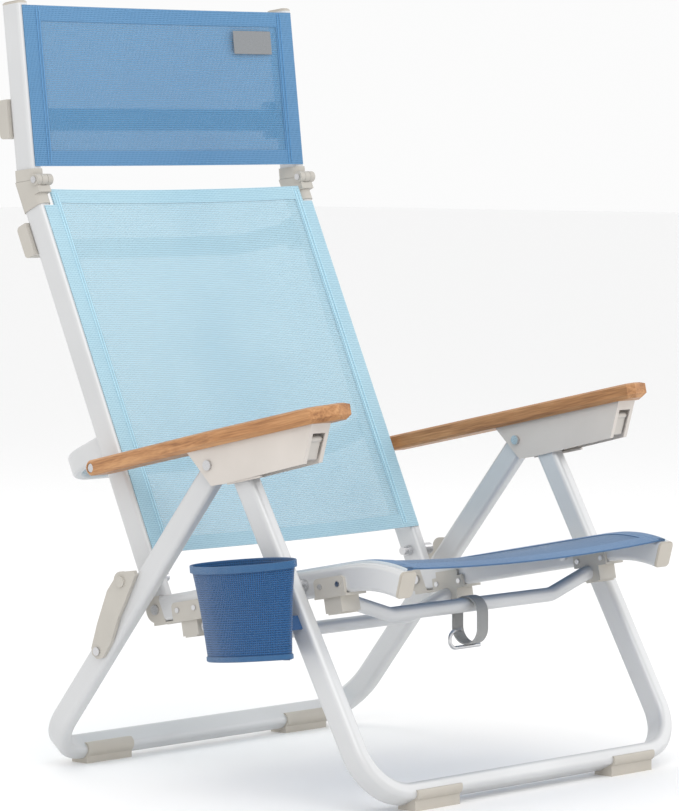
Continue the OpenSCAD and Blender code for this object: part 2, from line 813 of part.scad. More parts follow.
module back_bumpers() {
  place() color(plastic * 0.85) in_back() both()
    translate([0, back_d / 2, upper_bar_up]) bumper(44);
}

module back_screws() {
  place() color(steel) in_back() both() {
    for (z = [upper_bar_up, lower_bar_up])
      translate([half_rail, -back_d / 2 - 1.4, z]) rotate([-90, 0, 0]) cylinder(r = 4, h = 1.4);
  }
}

hinge_sleeve = 2;
hinge_low = 31;
module back_sling() {
  w = back_out - sling_inset;
  place() color(aqua) in_back() difference() {
    translate([-w, -back_d / 2 - sling_t, 70]) cube([2 * w, sling_t, back_len + 5 - 70]);
    both() {
      translate([back_in - hinge_sleeve - 0.3, -back_d / 2 - sling_t - 1, hinge_up - hinge_low - 0.3])
        cube([60, sling_t + 2, 80]);
      for (z = [upper_bar_up, lower_bar_up])
        translate([half_rail, -back_d / 2 - 4, z]) rotate([-90, 0, 0]) cylinder(r = 4.3, h = 6);
    }
  }
}

// ---- headrest hinges ----
pin_r = 3;
knuckle_w = 28;
knuckle_mid = 5.5;
module in_headrest() {
  side(hinge, headrest_lean) children();
}

module knuckles(r, outer) {
  x = half_rail;
  if (outer) for (e = [-1, 1])
    pin(min(x + e * knuckle_mid, x + e * knuckle_w / 2), max(x + e * knuckle_mid, x + e * knuckle_w / 2), r);
  else pin(x - knuckle_mid + face_gap, x + knuckle_mid - face_gap, r);
}

module hinge_lower(s) {
  w = back_w + 2 * hinge_sleeve;
  d = back_d + 2 * hinge_sleeve;
  place() color(plastic) hand(s) difference() {
    union() {
      difference() {
        in_back() union() {
          translate([half_rail, 0, hinge_up - hinge_low]) linear_extrude(60)
            round_rect(w, d, rail_r + hinge_sleeve);
          translate([half_rail - w / 2, -hinge_back, hinge_up - 17]) cube([w, hinge_back, 40]);
        }
        in_headrest() translate([half_rail - 40, -60, -0.15]) cube([80, 160, 160]);
        in_headrest() knuckles(knuckle_r + face_gap, false);
        in_headrest() pin(half_rail - knuckle_mid, half_rail + knuckle_mid, knuckle_r + face_gap);
      }
      in_headrest() knuckles(knuckle_r, true);
    }
    in_back() translate([half_rail, 0, 0]) linear_extrude(back_len)
      round_rect(back_w, back_d, rail_r);
    in_headrest() pin(half_rail - 40, half_rail + 40, pin_r);
  }
}

module hinge_lower_left() { hinge_lower(-1); }
module hinge_lower_right() { hinge_lower(1); }

module hinge_pins() {
  place() color(steel) in_headrest() both() {
    pin(half_rail - knuckle_w / 2 - 1, half_rail + knuckle_w / 2 + 1, pin_r);
    for (e = [-1, 1]) translate([half_rail + e * (knuckle_w / 2 + 0.9), 0, 0]) pin(-0.9, 0.9, 4.4);
  }
}

upper_h = 15;
headrest_start = 8;
module hinge_upper(s) {
  w = back_w + 2 * hinge_sleeve;
  d = back_d + 2 * hinge_sleeve;
  place() color(plastic) hand(s) in_headrest() difference() {
    union() {
      difference() {
        union() {
          translate([half_rail, hinge_back, 0.15]) linear_extrude(upper_h)
            round_rect(w, d, rail_r + hinge_sleeve);
          translate([half_rail - w / 2, 0, 0.15]) cube([w, hinge_back, knuckle_r - 1]);
        }
        knuckles(knuckle_r + face_gap, true);
        pin(half_rail - knuckle_mid - 0.1, half_rail - knuckle_mid + face_gap, knuckle_r + face_gap);
        pin(half_rail + knuckle_mid - face_gap, half_rail + knuckle_mid + 0.1, knuckle_r + face_gap);
      }
      knuckles(knuckle_r, false);
    }
    translate([half_rail, hinge_back, headrest_start]) linear_extrude(upper_h)
      round_rect(back_w, back_d, rail_r);
    pin(half_rail - 40, half_rail + 40, pin_r + run_gap);
  }
}

module hinge_upper_left() { hinge_upper(-1); }
module hinge_upper_right() { hinge_upper(1); }

// ---- headrest ----
headrest_top = headrest_len + 12;
module headrest_tube(s) {
  place() color(pearl) hand(s) in_headrest()
    translate([half_rail, hinge_back, headrest_start])
    straight(headrest_top - headrest_start, back_w, back_d, rail_r, wall);
}

module headrest_tube_left() { headrest_tube(-1); }
module headrest_tube_right() { headrest_tube(1); }

module headrest_bar() {
  place() color(pearl) in_headrest()
    translate([-half_rail - 6, hinge_back + back_d / 2 + bar_t / 2, headrest_bar_up])
    rotate([0, 90, 0]) linear_extrude(rail_span + 12) tube_section(bar_h + 2, bar_t, 5, wall);
}

module headrest_bumpers() {
  place() color(plastic * 0.85) in_headrest() both() difference() {
    translate([0, hinge_back + back_d / 2, headrest_bar_up]) bumper(headrest_bumper_h);
    translate([-half_rail - 6, hinge_back + back_d / 2 - 1, headrest_bar_up - bar_h / 2 - 1])
      cube([rail_span + 12, bar_t + 1, bar_h + 2]);
  }
}

module headrest_caps() {
  place() color(ivory) in_headrest() both() translate([half_rail, hinge_back, headrest_top]) {
    linear_extrude(2) round_rect(back_w, back_d, rail_r);
    linear_extrude(3.2) round_rect(back_w - 2.4, back_d - 2.4, rail_r - 1.2);
    linear_extrude(4) round_rect(back_w - 6, back_d - 6, rail_r - 3);
    translate([0, 0, -12]) linear_extrude(12)
      round_rect(back_w - 2 * wall, back_d - 2 * wall, rail_r - wall);
  }
}

module headrest_sling() {
  w = back_out - sling_inset;
  z0 = upper_h + 3;
  place() color(sky) in_headrest()
    translate([-w, hinge_out - sling_t, z0]) cube([2 * w, sling_t, headrest_top - 3 - z0]);
}

patch_w = 74;
patch_h = 32;
patch_t = 0.8;
module headrest_patch() {
  place() color([0.42, 0.43, 0.44]) in_headrest()
    translate([half_rail * 0.54, hinge_out - sling_t - patch_t, headrest_top - 30 - patch_h])
    cube([patch_w, patch_t, patch_h]);
}

// ---- links ----
module link_bolts() {
  place() color(steel) side(link_pivot, back_lean) both() {
    pin(back_in - 14, leg_in - face_gap, bolt_r);
    pin(back_in - 9, back_in, 7);
    pin(back_in - 15, back_in - 9, 5.6);
    pin(back_out, leg_in - face_gap, link_boss_r);
  }
}

link_boss_r = 8;
link_len = norm(link_foot - link_pivot);
link_turn = atan2(link_foot.x - link_pivot.x, link_pivot.y - link_foot.y);
module link(s) {
  place() color(plastic) hand(s) side(link_pivot, -link_turn) difference() {
    union() {
      pin(link_x, link_x + link_t + 2.6, link_boss_r - 1);
      slab(link_x, link_x + link_t) {
        polygon([[-14, 24], [-19, 20], [-17, -9 - 14], [-15, -link_len * 0.42],
          [-17, -link_len * 0.78], [-12, -link_len - 3], [-4, -link_len - 9],
          [6, -link_len - 8], [11, -link_len - 1], [15, -link_len * 0.68],
          [17, -link_len * 0.22], [9, 9]]);
        circle(13);
      }
    }
    translate([0, 0, -link_len])
      pin(link_x - 1, link_x + link_t + 1, link_screw_r + run_gap);
  }
}

link_screw_r = 3.5;
module link_left() { link(-1); }
module link_right() { link(1); }

rear_leg_frame();
rear_foot_left();
rear_foot_right();
rear_leg_bolts();
link_screws();
front_leg_frame();
front_foot_left();
front_foot_right();
front_leg_bolts();
pouch();
pouch_straps();
arm_left();
arm_right();
casing_left();
casing_right();
arm_bolts();
lever_left();
lever_right();
slide_blocks();
front_leg_pins();
seat_rail_left();
seat_rail_right();
rail_caps();
seat_bracket_left();
seat_bracket_right();
seat_bolts();
seat_bar_front();
seat_bar_rear();
saddle_front_left();
saddle_front_right();
saddle_rear_left();
saddle_rear_right();
saddle_screws();
seat_sling();
seat_piping();
strap_loop();
strap_hook();
rail_ring();
back_tube_left();
back_tube_right();
back_bar_upper();
back_bar_lower();
back_bumpers();
back_screws();
back_sling();
hinge_lower_left();
hinge_lower_right();
hinge_pins();
link_bolts();
link_left();
link_right();
hinge_upper_left();
hinge_upper_right();
headrest_tube_left();
headrest_tube_right();
headrest_bar();
headrest_bumpers();
headrest_caps();
headrest_sling();
headrest_patch();
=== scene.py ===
import bpy
import math
import json
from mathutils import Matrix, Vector


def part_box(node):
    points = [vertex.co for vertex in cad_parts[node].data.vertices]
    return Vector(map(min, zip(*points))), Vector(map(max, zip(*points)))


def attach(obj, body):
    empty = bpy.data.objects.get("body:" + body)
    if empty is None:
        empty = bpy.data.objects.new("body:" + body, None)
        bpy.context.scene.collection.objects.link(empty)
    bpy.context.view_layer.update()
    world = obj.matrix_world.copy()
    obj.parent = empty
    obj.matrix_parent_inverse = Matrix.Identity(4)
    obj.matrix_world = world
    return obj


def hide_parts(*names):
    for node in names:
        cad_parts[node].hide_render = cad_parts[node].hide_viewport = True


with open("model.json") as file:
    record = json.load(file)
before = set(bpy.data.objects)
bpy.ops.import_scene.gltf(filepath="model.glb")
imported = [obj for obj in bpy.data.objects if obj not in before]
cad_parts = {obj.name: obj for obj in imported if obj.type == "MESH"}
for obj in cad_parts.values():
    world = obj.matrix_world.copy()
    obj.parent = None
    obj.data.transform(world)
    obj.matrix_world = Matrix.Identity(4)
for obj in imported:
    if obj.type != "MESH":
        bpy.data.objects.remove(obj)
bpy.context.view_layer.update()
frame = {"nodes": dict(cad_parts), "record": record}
nodes = frame["nodes"]
print("frame loaded:", len(nodes), "nodes")


# ---- small helpers for materials ----
def newMaterial(name):
    mat = bpy.data.materials.new(name)
    mat.use_nodes = True
    tree = mat.node_tree
    shader = tree.nodes["Principled BSDF"]
    return mat, tree, shader


def addNode(tree, kind, **values):
    node = tree.nodes.new(kind)
    for key, value in values.items():
        if hasattr(node, key):
            setattr(node, key, value)
        else:
            node.inputs[key.replace("_", " ")].default_value = value
    return node


def noiseAt(tree, scale, detail=4.0, stretch=(1, 1, 1), source="Object"):
    coord = addNode(tree, "ShaderNodeTexCoord")
    mapping = addNode(tree, "ShaderNodeMapping")
    mapping.inputs["Scale"].default_value = stretch
    noise = addNode(tree, "ShaderNodeTexNoise")
    noise.inputs["Scale"].default_value = scale
    noise.inputs["Detail"].default_value = detail
    tree.links.new(coord.outputs[source], mapping.inputs["Vector"])
    tree.links.new(mapping.outputs["Vector"], noise.inputs["Vector"])
    return noise


def rampOf(tree, source, stops):
    ramp = addNode(tree, "ShaderNodeValToRGB")
    ramp.color_ramp.elements[0].position = stops[0][0]
    ramp.color_ramp.elements[0].color = (*stops[0][1], 1)
    ramp.color_ramp.elements[1].position = stops[-1][0]
    ramp.color_ramp.elements[1].color = (*stops[-1][1], 1)
    for place, colour in stops[1:-1]:
        step = ramp.color_ramp.elements.new(place)
        step.color = (*colour, 1)
    tree.links.new(source, ramp.inputs["Fac"])
    return ramp


def bumpFrom(tree, shader, height, strength, distance):
    bump = addNode(tree, "ShaderNodeBump")
    bump.inputs["Strength"].default_value = strength
    bump.inputs["Distance"].default_value = distance
    tree.links.new(height, bump.inputs["Height"])
    tree.links.new(bump.outputs["Normal"], shader.inputs["Normal"])
    return bump


coat = {"colour": (0.60, 0.605, 0.61), "fleck": (0.66, 0.665, 0.67), "roughness": 0.42, "grain": 900}


def powderCoat(name="powderCoat", shade=1.0):
    mat, tree, shader = newMaterial(name)
    fine = noiseAt(tree, coat["grain"], 2.0)
    cloud = noiseAt(tree, 5.0, 3.0)
    ramp = rampOf(tree, cloud.outputs["Fac"], [
        (0.3, tuple(c * shade for c in coat["colour"])), (0.7, tuple(c * shade for c in coat["fleck"]))])
    tree.links.new(ramp.outputs["Color"], shader.inputs["Base Color"])
    rough = addNode(tree, "ShaderNodeMapRange")
    rough.inputs["To Min"].default_value = coat["roughness"] - 0.05
    rough.inputs["To Max"].default_value = coat["roughness"] + 0.08
    tree.links.new(fine.outputs["Fac"], rough.inputs["Value"])
    tree.links.new(rough.outputs["Result"], shader.inputs["Roughness"])
    shader.inputs["Metallic"].default_value = 0.25
    shader.inputs["Specular IOR Level"].default_value = 0.5
    bumpFrom(tree, shader, fine.outputs["Fac"], 0.12, 0.0003)
    return mat


def moulded(name, colour, roughness=0.5, grain=1500):
    mat, tree, shader = newMaterial(name)
    fine = noiseAt(tree, grain, 2.0)
    cloud = noiseAt(tree, 12.0, 3.0)
    ramp = rampOf(tree, cloud.outputs["Fac"], [
        (0.3, tuple(c * 0.95 for c in colour)), (0.72, tuple(min(1, c * 1.05) for c in colour))])
    tree.links.new(ramp.outputs["Color"], shader.inputs["Base Color"])
    rough = addNode(tree, "ShaderNodeMapRange")
    rough.inputs["To Min"].default_value = roughness - 0.06
    rough.inputs["To Max"].default_value = roughness + 0.08
    tree.links.new(fine.outputs["Fac"], rough.inputs["Value"])
    tree.links.new(rough.outputs["Result"], shader.inputs["Roughness"])
    shader.inputs["Specular IOR Level"].default_value = 0.4
    bumpFrom(tree, shader, fine.outputs["Fac"], 0.2, 0.0002)
    return mat


timber = {"dark": (0.25, 0.105, 0.036), "mid": (0.43, 0.20, 0.075), "light": (0.57, 0.30, 0.13),
          "tilt": 12.2, "roughness": 0.42}


def oiledWood(name, offset=0.0):
    mat, tree, shader = newMaterial(name)
    coord = addNode(tree, "ShaderNodeTexCoord")
    turn = addNode(tree, "ShaderNodeMapping")
    turn.inputs["Rotation"].default_value = (math.radians(timber["tilt"]), 0, 0)
    turn.inputs["Location"].default_value = (offset, offset * 0.7, offset)
    grain = addNode(tree, "ShaderNodeMapping")
    grain.inputs["Scale"].default_value = (1.0, 0.05, 1.0)
    tree.links.new(coord.outputs["Object"], turn.inputs["Vector"])
    tree.links.new(turn.outputs["Vector"], grain.inputs["Vector"])
    rings = addNode(tree, "ShaderNodeTexNoise")
    rings.inputs["Scale"].default_value = 90
    rings.inputs["Detail"].default_value = 6
    rings.inputs["Distortion"].default_value = 0.6
    tree.links.new(grain.outputs["Vector"], rings.inputs["Vector"])
    fibre = addNode(tree, "ShaderNodeTexNoise")
    fibre.inputs["Scale"].default_value = 620
    fibre.inputs["Detail"].default_value = 3
    tree.links.new(grain.outputs["Vector"], fibre.inputs["Vector"])
    mix = addNode(tree, "ShaderNodeMix", data_type="FLOAT")
    mix.inputs[0].default_value = 0.38
    tree.links.new(rings.outputs["Fac"], mix.inputs[2])
    tree.links.new(fibre.outputs["Fac"], mix.inputs[3])
    ramp = rampOf(tree, mix.outputs[0], [(0.34, timber["dark"]), (0.48, timber["mid"]), (0.62, timber["light"])])
    tree.links.new(ramp.outputs["Color"], shader.inputs["Base Color"])
    rough = addNode(tree, "ShaderNodeMapRange")
    rough.inputs["To Min"].default_value = timber["roughness"] - 0.04
    rough.inputs["To Max"].default_value = timber["roughness"] + 0.14
    tree.links.new(fibre.outputs["Fac"], rough.inputs["Value"])
    tree.links.new(rough.outputs["Result"], shader.inputs["Roughness"])
    bumpFrom(tree, shader, mix.outputs[0], 0.3, 0.0005)
    return mat


def turnedSteel(name="turnedSteel"):
    mat, tree, shader = newMaterial(name)
    fine = noiseAt(tree, 700, 3.0, (1, 6, 1))
    rough = addNode(tree, "ShaderNodeMapRange")
    rough.inputs["To Min"].default_value = 0.18
    rough.inputs["To Max"].default_value = 0.38
    tree.links.new(fine.outputs["Fac"], rough.inputs["Value"])
    tree.links.new(rough.outputs["Result"], shader.inputs["Roughness"])
    shader.inputs["Base Color"].default_value = (0.62, 0.62, 0.63, 1)
    shader.inputs["Metallic"].default_value = 1.0
    bumpFrom(tree, shader, fine.outputs["Fac"], 0.1, 0.0002)
    return mat


def netting(name, thread, shadow, pitch, holes, roughness=0.6, sheen=0.3, cover=0.5):
    # A woven mesh on the piece's own UV map, which is in metres. Holes let light through.
    mat, tree, shader = newMaterial(name)
    coord = addNode(tree, "ShaderNodeTexCoord")
    split = addNode(tree, "ShaderNodeSeparateXYZ")
    tree.links.new(coord.outputs["UV"], split.inputs["Vector"])

    def wave(axis, shift):
        scaled = addNode(tree, "ShaderNodeMath", operation="MULTIPLY_ADD")
        scaled.inputs[1].default_value = 2 * math.pi / pitch
        scaled.inputs[2].default_value = shift
        tree.links.new(split.outputs[axis], scaled.inputs[0])
        curve = addNode(tree, "ShaderNodeMath", operation="SINE")
        tree.links.new(scaled.outputs[0], curve.inputs[0])
        return curve

    across, down = wave("X", 0.0), wave("Y", 0.0)
    weave = addNode(tree, "ShaderNodeMath", operation="MAXIMUM")
    tree.links.new(across.outputs[0], weave.inputs[0])
    tree.links.new(down.outputs[0], weave.inputs[1])
    cloud = noiseAt(tree, 3.5, 3.0)
    tone = addNode(tree, "ShaderNodeMath", operation="MULTIPLY_ADD")
    tone.inputs[1].default_value = 0.35
    tree.links.new(weave.outputs[0], tone.inputs[0])
    tree.links.new(cloud.outputs["Fac"], tone.inputs[2])
    ramp = rampOf(tree, tone.outputs[0], [(0.2, shadow), (0.8, thread)])
    tree.links.new(ramp.outputs["Color"], shader.inputs["Base Color"])
    if holes > 0:
        open_ = addNode(tree, "ShaderNodeMapRange")
        open_.inputs["From Min"].default_value = cover - 0.12
        open_.inputs["From Max"].default_value = cover + 0.12
        open_.inputs["To Min"].default_value = 1 - holes
        open_.inputs["To Max"].default_value = 1.0
        tree.links.new(weave.outputs[0], open_.inputs["Value"])
        tree.links.new(open_.outputs["Result"], shader.inputs["Alpha"])
    shader.inputs["Roughness"].default_value = roughness
    shader.inputs["Sheen Weight"].default_value = sheen
    shader.inputs["Specular IOR Level"].default_value = 0.25
    bumpFrom(tree, shader, weave.outputs[0], 0.5, 0.0006)
    return mat


finishes = {
    "powder_coat": powderCoat(),
    "wood": oiledWood("oiledWood"),
    "grey_plastic": moulded("greyPlastic", (0.50, 0.475, 0.43)),
    "ivory_plastic": moulded("ivoryPlastic", (0.50, 0.465, 0.41), 0.46),
    "steel": turnedSteel(),
}
casingFinish = moulded("casingPlastic", (0.63, 0.585, 0.54), 0.5)
leverFinish = moulded("leverPlastic", (0.55, 0.52, 0.48), 0.5)
farWood = oiledWood("oiledWoodRight", 0.37)
for item in frame["record"]["subparts"]:
    piece = nodes[item["node"]]
    finish = finishes.get(item["material_slot"])
    if item["node"].startswith("casing"):
        finish = casingFinish
    if item["node"].startswith("lever"):
        finish = leverFinish
    if item["node"] == "arm_right":
        finish = farWood
    if finish:
        for slot in piece.material_slots:
            slot.material = finish
print("frame finishes assigned")


# ---- placing pieces ----
def deselectAll():
    if bpy.context.object and bpy.context.object.mode != "OBJECT":
        bpy.ops.object.mode_set(mode="OBJECT")
    bpy.ops.object.select_all(action="DESELECT")


def only(piece):
    deselectAll()
    piece.select_set(True)
    bpy.context.view_layer.objects.active = piece


def applyModifier(piece, kind, **values):
    only(piece)
    modifier = piece.modifiers.new(kind.title(), kind)
    for key, value in values.items():
        setattr(modifier, key, value)
    bpy.ops.object.modifier_apply(modifier=modifier.name)


def clothGrid(name, across, along):
    # A flat unit grid whose UV map is filled in by hung() in metres.
    deselectAll()
    bpy.ops.mesh.primitive_grid_add(x_subdivisions=across, y_subdivisions=along, size=1, location=(0, 0, 0))
    piece = bpy.context.object
    piece.name = name
    piece.data.name = name
    return piece


def hung(piece, place, width, length):
    # place(u, v) gives the point for u across and v along, both 0 to 1.
    mesh = piece.data
    spots = {}
    for vertex in mesh.vertices:
        u, v = vertex.co.x + 0.5, vertex.co.y + 0.5
        spots[vertex.index] = (u, v)
        vertex.co = Vector(place(u, v))
    layer = mesh.uv_layers.active or mesh.uv_layers.new(name="cloth")
    for loop in mesh.loops:
        u, v = spots[loop.vertex_index]
        layer.data[loop.index].uv = (u * width, v * length)
    mesh.update()


def faceOutwards(piece, direction):
    total = Vector((0, 0, 0))
    for polygon in piece.data.polygons:
        total += polygon.normal * polygon.area
    if total.dot(Vector(direction)) < 0:
        only(piece)
        bpy.ops.object.mode_set(mode="EDIT")
        bpy.ops.mesh.select_all(action="SELECT")
        bpy.ops.mesh.flip_normals()
        bpy.ops.object.mode_set(mode="OBJECT")


def smooth(piece, angle=40):
    only(piece)
    bpy.ops.object.shade_smooth_by_angle(angle=math.radians(angle))


def finishCloth(piece, thick, outward, finish):
    faceOutwards(piece, outward)
    applyModifier(piece, "SOLIDIFY", thickness=thick, offset=-1)
    piece.data.materials.clear()
    piece.data.materials.append(finish)
    smooth(piece, 50)


# Corner points of a leaning sling, from its CAD solid: its low and high edges in side view.
def slingEdges(node, lean):
    low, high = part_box(node)
    back = math.sin(math.radians(lean))
    up = math.cos(math.radians(lean))
    vertices = [v.co for v in nodes[node].data.vertices]
    reach = [(v.y * back + v.z * up) for v in vertices]
    front = [(-v.y * up + v.z * back) for v in vertices]
    return low[0], high[0], min(reach), max(reach), max(front), back, up


backCloth = {"lean": 24.4, "sag": 0.010, "side": 0.031, "top": 0.019, "bottom": 0.019, "thick": 0.0012,
             "thread": (0.48, 0.70, 0.80), "shadow": (0.30, 0.54, 0.68),
             "hemThread": (0.46, 0.68, 0.78), "holes": 0.74, "pitch": 0.0026}
headCloth = {"lean": 6.7, "sag": 0.006, "side": 0.031, "top": 0.020, "bottom": 0.020, "thick": 0.0012,
             "thread": (0.10, 0.29, 0.51), "shadow": (0.06, 0.20, 0.39),
             "hemThread": (0.11, 0.28, 0.50), "holes": 0.62, "pitch": 0.0026}


def leaningSling(name, node, cloth, body, notch):
    x0, x1, low, high, front, back, up = slingEdges(node, cloth["lean"])
    width, length = x1 - x0, high - low

    def point(x, reach, lift):
        depth = front + lift
        return (x, reach * back - depth * up, reach * up + depth * back)

    def sagAt(u, v):
        edge = min(1.0, max(0.0, (u * width - 0.024) / (width - 0.048)))
        across = math.sin(math.pi * edge) ** 0.8 if 0 < edge < 1 else 0.0
        return -cloth["sag"] * across * (0.75 + 0.25 * math.sin(math.pi * v))

    def sheetPoint(lift):
        def place(u, v):
            return point(x0 + u * width, low + v * length, lift + sagAt(u, v) - 0.0012)
        return place

    main = clothGrid(name, 120, 90)
    hung(main, sheetPoint(0.0), width, length)
    if notch:
        cut(main, x0, x1, low, high, back, up, notch)
    finish = netting(name + "Net", cloth["thread"], cloth["shadow"], cloth["pitch"], cloth["holes"])
    finishCloth(main, cloth["thick"], (0, -up, back), finish)
    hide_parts(node)
    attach(main, body)
    hemFinish = netting(name + "HemNet", cloth["hemThread"], cloth["shadow"], cloth["pitch"], 0.12)
    spans = {
        "SideLeft": (0, cloth["side"] / width, 0, 1), "SideRight": (1 - cloth["side"] / width, 1, 0, 1),
        "Top": (cloth["side"] / width, 1 - cloth["side"] / width, 1 - cloth["top"] / length, 1),
        "Bottom": (cloth["side"] / width, 1 - cloth["side"] / width, 0, cloth["bottom"] / length)}
    for part, (u0, u1, v0, v1) in spans.items():
        hem = clothGrid(name + part, 12 if "Side" in part else 90, 90 if "Side" in part else 4)
        base = sheetPoint(0.0010)

        def place(u, v):
            return base(u0 + u * (u1 - u0), v0 + v * (v1 - v0))

        hung(hem, place, (u1 - u0) * width, (v1 - v0) * length)
        if notch:
            cut(hem, x0, x1, low, high, back, up, notch)
        finishCloth(hem, 0.0008, (0, -up, back), hemFinish)
        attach(hem, body)
    thread = moulded(name + "Thread", tuple(min(1, c * 1.25) for c in cloth["hemThread"]), 0.7)
    for at in (cloth["side"] - 0.003, cloth["side"] - 0.008):
        for side in (0, 1):
            u = at / width if side == 0 else 1 - at / width
            stitch = clothGrid(name + "Stitch%d%d" % (int(at * 1000), side), 1, 120)
            base = sheetPoint(0.0019)

            def line(a, v, u=u):
                return base(u + (a - 0.5) * 0.0009 / width, 0.012 + v * 0.976)

            hung(stitch, line, 0.0009, length)
            finishCloth(stitch, 0.0003, (0, -up, back), thread)
            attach(stitch, body)
    print(name, "made")
    return point, x0, x1, low, high


def cut(piece, x0, x1, low, high, back, up, notch):
    # Takes the corners away round the hinge blocks.
    inX, fromTop = notch
    only(piece)
    bpy.ops.object.mode_set(mode="EDIT")
    bpy.ops.mesh.select_all(action="DESELECT")
    bpy.ops.object.mode_set(mode="OBJECT")
    for polygon in piece.data.polygons:
        spot = polygon.center
        reach = spot.y * back + spot.z * up
        polygon.select = reach > high - fromTop and (spot.x < x0 + inX or spot.x > x1 - inX)
    bpy.ops.object.mode_set(mode="EDIT")
    bpy.ops.mesh.select_mode(type="FACE")
    bpy.ops.mesh.delete(type="FACE")
    bpy.ops.object.mode_set(mode="OBJECT")


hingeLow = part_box("hinge_lower_right")
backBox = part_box("back_sling")
leaningSling("backSling", "back_sling", backCloth, "back", (backBox[1][0] - hingeLow[0][0] + 0.0005, 0.0205))
headPoint, headX0, headX1, headLow, headHigh = leaningSling("headSling", "headrest_sling", headCloth, "headrest", None)

# ---- seat sling ----
seatCloth = {"sag": 0.012, "thick": 0.0014,
             "thread": (0.055, 0.165, 0.34), "shadow": (0.035, 0.11, 0.25),
             "pipe": (0.62, 0.68, 0.72), "pitch": 0.0024, "holes": 0.25, "railEdge": 0.014}


def seatSling():
    low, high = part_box("seat_sling")
    width = high[0] - low[0]
    edgeX = high[0] - 0.001
    points = sorted({(round(v.co.y, 5), round(v.co.z, 5)) for v in nodes["seat_sling"].data.vertices
                     if v.co.x > edgeX}, reverse=True)
    # The upper line of the solid: one point per place along, the higher one.
    line = []
    for y, z in points:
        if line and abs(line[-1][0] - y) < 0.0035:
            if z > line[-1][1]:
                line[-1] = (y, z)
            continue
        line.append((y, z))
    # Distance run along that line at each point.
    run = [0.0]
    for a, b in zip(line, line[1:]):
        run.append(run[-1] + math.hypot(a[0] - b[0], a[1] - b[1]))
    length = run[-1]

    def lineAt(v):
        want = v * length
        for i in range(len(run) - 1):
            if run[i + 1] >= want or i == len(run) - 2:
                t = (want - run[i]) / max(run[i + 1] - run[i], 1e-9)
                return (line[i][0] + (line[i + 1][0] - line[i][0]) * t,
                        line[i][1] + (line[i + 1][1] - line[i][1]) * t)

    def place(u, v):
        y, z = lineAt(v)
        edge = (u * width - seatCloth["railEdge"]) / (width - 2 * seatCloth["railEdge"])
        across = math.sin(math.pi * edge) ** 0.8 if 0 < edge < 1 else 0.0
        return (low[0] + u * width, y, z - seatCloth["sag"] * across * (0.6 + 0.4 * math.sin(math.pi * v)))

    sling = clothGrid("seatSling", 120, 100)
    hung(sling, place, width, length)
    finish = netting("seatNet", seatCloth["thread"], seatCloth["shadow"], seatCloth["pitch"], seatCloth["holes"])
    finishCloth(sling, seatCloth["thick"], (0, 0, 1), finish)
    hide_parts("seat_sling")
    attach(sling, "seat")
    hemThread = tuple(c * 1.1 for c in seatCloth["thread"])
    hemFinish = netting("seatHemNet", hemThread, seatCloth["shadow"], seatCloth["pitch"], 0.0)
    for part, (u0, u1, v0, v1) in {"Front": (0, 1, 1 - 0.02 / length, 1), "Back": (0, 1, 0, 0.02 / length),
                                   "Left": (0, 0.028 / width, 0, 1), "Right": (1 - 0.028 / width, 1, 0, 1)}.items():
        cells = (90, 4) if part in ("Front", "Back") else (8, 80)
        hem = clothGrid("seatSling" + part, *cells)

        def onTop(u, v, box=(u0, u1, v0, v1)):
            x, y, z = place(box[0] + u * (box[1] - box[0]), box[2] + v * (box[3] - box[2]))
            return (x, y, z + 0.0009)

        hung(hem, onTop, (u1 - u0) * width, (v1 - v0) * length)
        finishCloth(hem, 0.0007, (0, 0, 1), hemFinish)
        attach(hem, "seat")
    pipe = netting("pipingWeave", seatCloth["pipe"], tuple(c * 0.8 for c in seatCloth["pipe"]), 0.0018, 0.0)
    for slot in nodes["seat_piping"].material_slots:
        slot.material = moulded("pipingCloth", seatCloth["pipe"], 0.75, 2600)
    print("seat sling made")


seatSling()


# ---- headrest patch ----
patchLook = {"colour": (0.20, 0.21, 0.22), "edge": (0.27, 0.28, 0.29),
             "thick": 0.0008, "heightShare": 0.99, "bevel": 0.00025}


def patch():
    low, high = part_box("headrest_patch")
    deselectAll()
    centre = [(a + b) / 2 for a, b in zip(low, high)]
    bpy.ops.mesh.primitive_cube_add(size=1, location=centre)
    piece = bpy.context.object
    piece.name = "headrestPatch"
    lean = math.radians(headCloth["lean"])
    tall = (high[2] - low[2]) / math.cos(lean) * patchLook["heightShare"]
    piece.scale = (high[0] - low[0], patchLook["thick"], tall)
    piece.rotation_euler = (-lean, 0, 0)
    bpy.ops.object.transform_apply(location=True, rotation=True, scale=True)
    bpy.ops.object.mode_set(mode="EDIT")
    bpy.ops.mesh.select_all(action="SELECT")
    bpy.ops.mesh.bevel(offset=patchLook["bevel"], segments=2)
    bpy.ops.object.mode_set(mode="OBJECT")
    mat, tree, shader = newMaterial("patchWeave")
    fine = noiseAt(tree, 1400, 3.0)
    ramp = rampOf(tree, fine.outputs["Fac"], [(0.35, patchLook["colour"]), (0.7, patchLook["edge"])])
    tree.links.new(ramp.outputs["Color"], shader.inputs["Base Color"])
    shader.inputs["Roughness"].default_value = 0.6
    bumpFrom(tree, shader, fine.outputs["Fac"], 0.3, 0.0003)
    piece.data.materials.append(mat)
    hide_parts("headrest_patch")
    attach(piece, "headrest")
    print("patch made")


patch()

# ---- drink pouch ----
pouchLook = {"lean": 6.0, "rings": 40, "around": 96, "rim": 0.009, "wall": 0.0016, "frontDip": 0.006,
             "thread": (0.022, 0.105, 0.27), "shadow": (0.010, 0.055, 0.16),
             "binding": (0.05, 0.17, 0.36), "pitch": 0.0030, "holes": 0.45}


